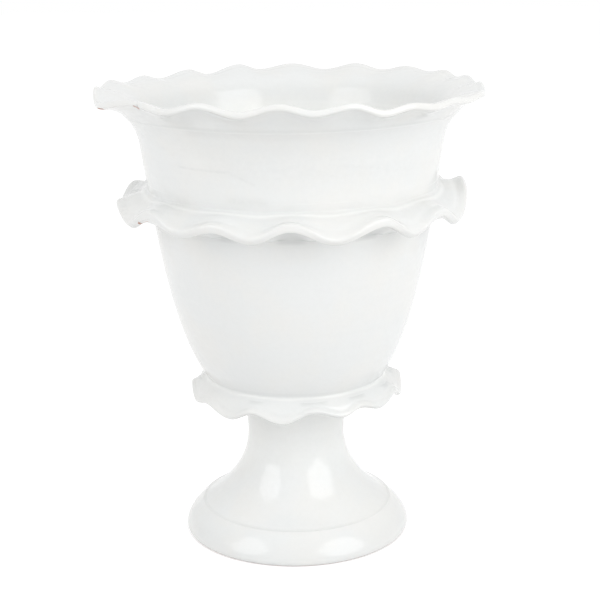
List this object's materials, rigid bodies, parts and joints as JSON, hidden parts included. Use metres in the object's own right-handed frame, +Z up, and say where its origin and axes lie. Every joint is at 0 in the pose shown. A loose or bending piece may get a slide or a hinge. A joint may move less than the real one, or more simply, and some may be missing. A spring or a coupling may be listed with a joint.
{
  "type": "footed cachepot",
  "caption": "White glazed ceramic cachepot on a flared pedestal foot, with crimped wavy strips round its rim, body and base.",
  "frame": {"origin": "middle of the circle that the foot stands on, on the table", "axes": "+Z up along the axis that the pot was thrown on; the front, which faces the viewer of the picture, is -Y, and +X is to the viewer's right"},
  "size_m": [0.2954, 0.2976, 0.3605],
  "materials": {
    "white_glaze": "gloss white glaze over earthenware, thinner on crimped edges, with a bare clay ring under the foot"
  },
  "bodies": {
    "root": {"foot": "white_glaze", "bowl": "white_glaze", "rim_ruffle": "white_glaze", "middle_ruffle": "white_glaze", "lower_ruffle": "white_glaze"}
  },
  "joints": []
}
